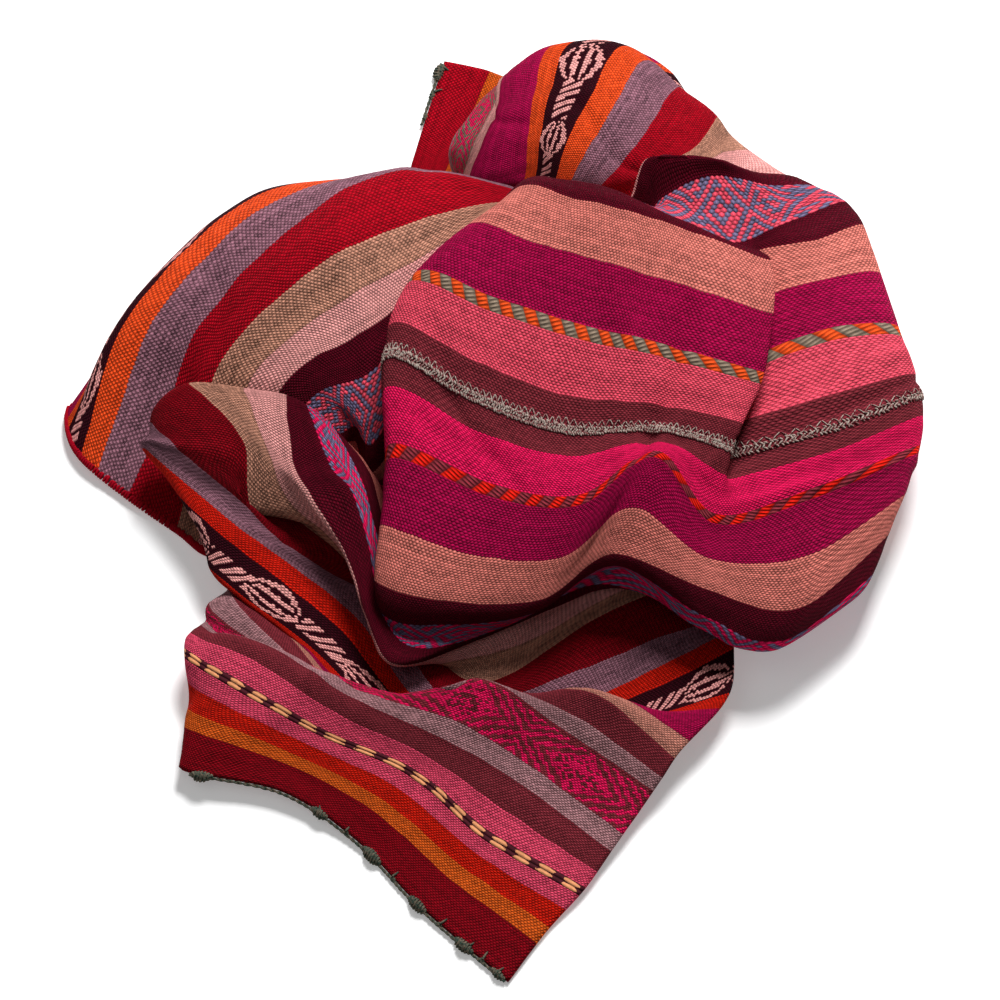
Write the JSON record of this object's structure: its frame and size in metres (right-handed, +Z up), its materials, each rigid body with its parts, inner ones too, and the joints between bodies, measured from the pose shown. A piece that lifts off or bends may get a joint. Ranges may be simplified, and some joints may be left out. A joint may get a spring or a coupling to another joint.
{
  "type": "folded woven blanket",
  "caption": "Striped hand-woven wool blanket of joined panels, lying loosely folded and crumpled in a heap.",
  "frame": {"origin": "centre of the bounding box's bottom face, on the floor under the blanket", "axes": "+Z up from the floor; -Y towards the front flap, the side that the picture is taken from; +X to the right as seen from there"},
  "size_m": [0.4972, 0.6164, 0.0875],
  "materials": {
    "front_cloth": "warp-faced wool weave with crimson, pink, orange and maroon stripes",
    "back_cloth": "warp-faced wool weave with salmon, crimson, orange and maroon stripes",
    "edging_wool": "grey-green spun wool"
  },
  "bodies": {
    "root": {"front_panel": "front_cloth", "back_panel": "back_cloth", "front_edging": "edging_wool", "back_edging": "edging_wool"}
  },
  "joints": []
}
